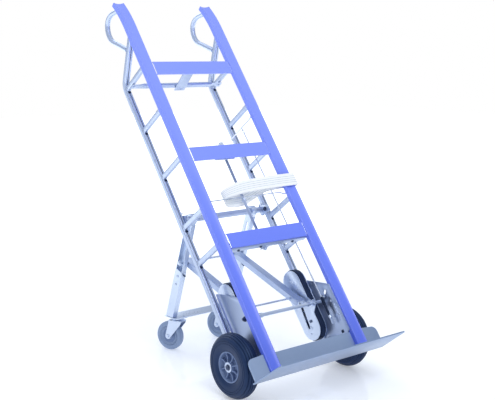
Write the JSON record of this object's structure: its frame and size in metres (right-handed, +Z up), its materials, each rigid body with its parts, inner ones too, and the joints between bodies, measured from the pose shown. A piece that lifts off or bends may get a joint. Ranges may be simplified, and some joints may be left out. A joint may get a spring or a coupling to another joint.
{
  "type": "four-wheel appliance hand truck",
  "caption": "Tall hand truck with two blue rails, crossbars, a nose plate, stair-glide belts, two main wheels and fold-out rear legs on swivel casters.",
  "frame": {"origin": "centre of the bounding box in plan, at the floor", "axes": "+Z up, +X to the right of someone facing the nose plate from the front, -Y towards the nose plate, +Y towards the fold-out legs"},
  "size_m": [0.654, 1.2288, 1.4434],
  "materials": {
    "blue_paint": "satin enamel, periwinkle blue",
    "silver_aluminium": "satin mill finish",
    "zinc_steel": "zinc plated",
    "bright_steel": "bright plated",
    "black_plastic": "moulded, matte",
    "tyre_rubber": "matte, ribbed rounded tread",
    "belt_rubber": "matte",
    "grey_hub": "moulded, satin",
    "caster_grey": "matte",
    "strap_fabric": "woven webbing"
  },
  "bodies": {
    "frame": {"axle": "zinc_steel", "centre_brace": "silver_aluminium", "centre_rod": "silver_aluminium", "crossbar_angle": "silver_aluminium", "crossbar_bottom": "blue_paint", "crossbar_middle": "blue_paint", "crossbar_top": "blue_paint", "glide_belt_left": "belt_rubber", "glide_belt_right": "belt_rubber", "glide_frame_left": "zinc_steel", "glide_frame_right": "zinc_steel", "handle_loop_left": "silver_aluminium", "handle_loop_right": "silver_aluminium", "leg_shaft": "silver_aluminium", "nose_plate": "silver_aluminium", "rail_left": "blue_paint", "rail_right": "blue_paint", "rear_channel_left": "silver_aluminium", "rear_channel_right": "silver_aluminium", "shaft_bracket_left": "zinc_steel", "shaft_bracket_right": "zinc_steel", "side_plate_left": "silver_aluminium", "side_plate_right": "silver_aluminium", "strap_bracket": "zinc_steel", "strap_coil": "strap_fabric", "strap_wire": "bright_steel", "strut_left_1": "silver_aluminium", "strut_left_2": "silver_aluminium", "strut_left_3": "silver_aluminium", "strut_left_4": "silver_aluminium", "strut_left_5": "silver_aluminium", "strut_right_1": "silver_aluminium", "strut_right_2": "silver_aluminium", "strut_right_3": "silver_aluminium", "strut_right_4": "silver_aluminium", "strut_right_5": "silver_aluminium", "top_stretcher": "silver_aluminium"},
    "wheel_left": {"tyre_left": "tyre_rubber", "hub_left": "grey_hub"},
    "wheel_right": {"tyre_right": "tyre_rubber", "hub_right": "grey_hub"},
    "legs": {"leg_left": "silver_aluminium", "leg_right": "silver_aluminium", "knee_rod": "bright_steel", "foot_bar": "zinc_steel"},
    "braces": {"brace_left": "zinc_steel", "brace_right": "zinc_steel", "foot_rod": "bright_steel"},
    "caster_left": {"caster_fork_left": "zinc_steel"},
    "caster_wheel_body_left": {"caster_wheel_left": "caster_grey"},
    "caster_right": {"caster_fork_right": "zinc_steel"},
    "caster_wheel_body_right": {"caster_wheel_right": "caster_grey"},
    "upper_roller_left": {"roller_upper_left": "grey_hub"},
    "lower_roller_left": {"roller_lower_left": "grey_hub"},
    "upper_roller_right": {"roller_upper_right": "grey_hub"},
    "lower_roller_right": {"roller_lower_right": "grey_hub"},
    "release_lever": {"release_lever": "bright_steel"},
    "latch": {"latch_shaft": "zinc_steel"},
    "rope": {"release_rope": "bright_steel", "rope_boot": "black_plastic"}
  },
  "joints": [
    {"name": "wheel_left_spin", "type": "hinge", "parent": "frame", "child": "wheel_left", "pos_m": [-0.28775, -0.32687, 0.12099], "axis": [1, 0, 0], "continuous": true},
    {"name": "wheel_right_spin", "type": "hinge", "parent": "frame", "child": "wheel_right", "pos_m": [0.28775, -0.32687, 0.12099], "axis": [1, 0, 0], "continuous": true},
    {"name": "leg_fold", "type": "hinge", "parent": "frame", "child": "legs", "pos_m": [0, 0.10517, 0.58417], "axis": [1, 0, 0], "range_deg": [-36, 0]},
    {"name": "brace_fold", "type": "hinge", "parent": "legs", "child": "braces", "pos_m": [0, 0.17084, 0.39451], "axis": [1, 0, 0], "range_deg": [0, 55]},
    {"name": "caster_left_swivel", "type": "hinge", "parent": "legs", "child": "caster_left", "pos_m": [-0.128, 0.24513, 0.147], "axis": [0, 0, 1], "continuous": true},
    {"name": "caster_left_spin", "type": "hinge", "parent": "caster_left", "child": "caster_wheel_body_left", "pos_m": [-0.14233, 0.28247, 0.061], "axis": [0.9336, 0.3584, 0], "continuous": true},
    {"name": "caster_right_swivel", "type": "hinge", "parent": "legs", "child": "caster_right", "pos_m": [0.128, 0.24513, 0.147], "axis": [0, 0, 1], "continuous": true},
    {"name": "caster_right_spin", "type": "hinge", "parent": "caster_right", "child": "caster_wheel_body_right", "pos_m": [0.119, 0.2841, 0.061], "axis": [0.9744, 0.225, 0], "continuous": true},
    {"name": "upper_roller_left_spin", "type": "hinge", "parent": "frame", "child": "upper_roller_left", "pos_m": [-0.16725, -0.15417, 0.3237], "axis": [1, 0, 0], "continuous": true},
    {"name": "lower_roller_left_spin", "type": "hinge", "parent": "frame", "child": "lower_roller_left", "pos_m": [-0.16725, -0.27305, 0.16536], "axis": [1, 0, 0], "continuous": true},
    {"name": "upper_roller_right_spin", "type": "hinge", "parent": "frame", "child": "upper_roller_right", "pos_m": [0.16725, -0.15417, 0.3237], "axis": [1, 0, 0], "continuous": true},
    {"name": "lower_roller_right_spin", "type": "hinge", "parent": "frame", "child": "lower_roller_right", "pos_m": [0.16725, -0.27305, 0.16536], "axis": [1, 0, 0], "continuous": true},
    {"name": "lever_pull", "type": "hinge", "parent": "frame", "child": "release_lever", "pos_m": [0.185, 0.28412, 0.86747], "axis": [1, 0, 0], "range_deg": [-8, 0]},
    {"name": "latch_turn", "type": "hinge", "parent": "frame", "child": "latch", "pos_m": [0, -0.2806, 0.26857], "axis": [1, 0, 0], "range_deg": [-30.1, 0]},
    {"name": "rope_slide", "type": "slide", "parent": "frame", "child": "rope", "axis": [0.0111, 0.6258, 0.7799], "range_m": [0, 0.0136]}
  ],
  "couplings": [
    {"joint": "brace_fold", "follows": "leg_fold", "ratio": -1.516},
    {"joint": "lower_roller_left_spin", "follows": "upper_roller_left_spin", "ratio": 1},
    {"joint": "lower_roller_right_spin", "follows": "upper_roller_right_spin", "ratio": 1},
    {"joint": "latch_turn", "follows": "lever_pull", "ratio": 3.75},
    {"joint": "rope_slide", "follows": "lever_pull", "m_per_rad": -0.096}
  ]
}
